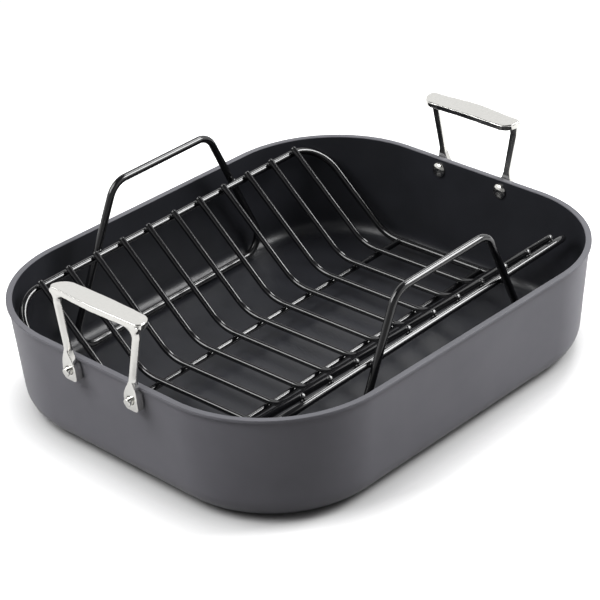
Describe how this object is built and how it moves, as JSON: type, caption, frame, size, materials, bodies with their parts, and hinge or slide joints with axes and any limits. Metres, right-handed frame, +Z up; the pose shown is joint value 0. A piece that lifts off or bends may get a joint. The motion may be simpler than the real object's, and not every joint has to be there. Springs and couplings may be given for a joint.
{
  "type": "roasting pan with rack",
  "caption": "Deep rectangular roasting pan with rounded corners and upright riveted end handles, holding a loose U-shaped wire rack with lifting loops that keeps a roast above the juices.",
  "frame": {"origin": "centre of the pan's base, on the plane it stands on", "axes": "+X along the pan's length towards the right handle, +Y across its width towards the back wall, +Z up"},
  "size_m": [0.424, 0.3344, 0.1429],
  "materials": {
    "anodised_aluminium": "hard-anodised dark grey outside, black nonstick inside",
    "stainless_steel": "cast and polished",
    "coated_wire": "black nonstick coating, semi-gloss"
  },
  "bodies": {
    "pan": {"pan_body": "anodised_aluminium", "pan_handle_left": "stainless_steel", "pan_handle_right": "stainless_steel", "rivet_left_back": "stainless_steel", "rivet_left_front": "stainless_steel", "rivet_right_back": "stainless_steel", "rivet_right_front": "stainless_steel"},
    "rack": {"rack_frame": "coated_wire", "cross_wire_01": "coated_wire", "cross_wire_02": "coated_wire", "cross_wire_03": "coated_wire", "cross_wire_04": "coated_wire", "cross_wire_05": "coated_wire", "cross_wire_06": "coated_wire", "cross_wire_07": "coated_wire", "cross_wire_08": "coated_wire", "cross_wire_09": "coated_wire", "cross_wire_10": "coated_wire", "cross_wire_11": "coated_wire", "under_rod_back": "coated_wire", "under_rod_front": "coated_wire", "lift_loop_back": "coated_wire", "lift_loop_front": "coated_wire"}
  },
  "joints": [
    {"name": "rack_lift", "type": "slide", "parent": "pan", "child": "rack", "axis": [0, 0, 1], "range_m": [0, 0.16]}
  ]
}
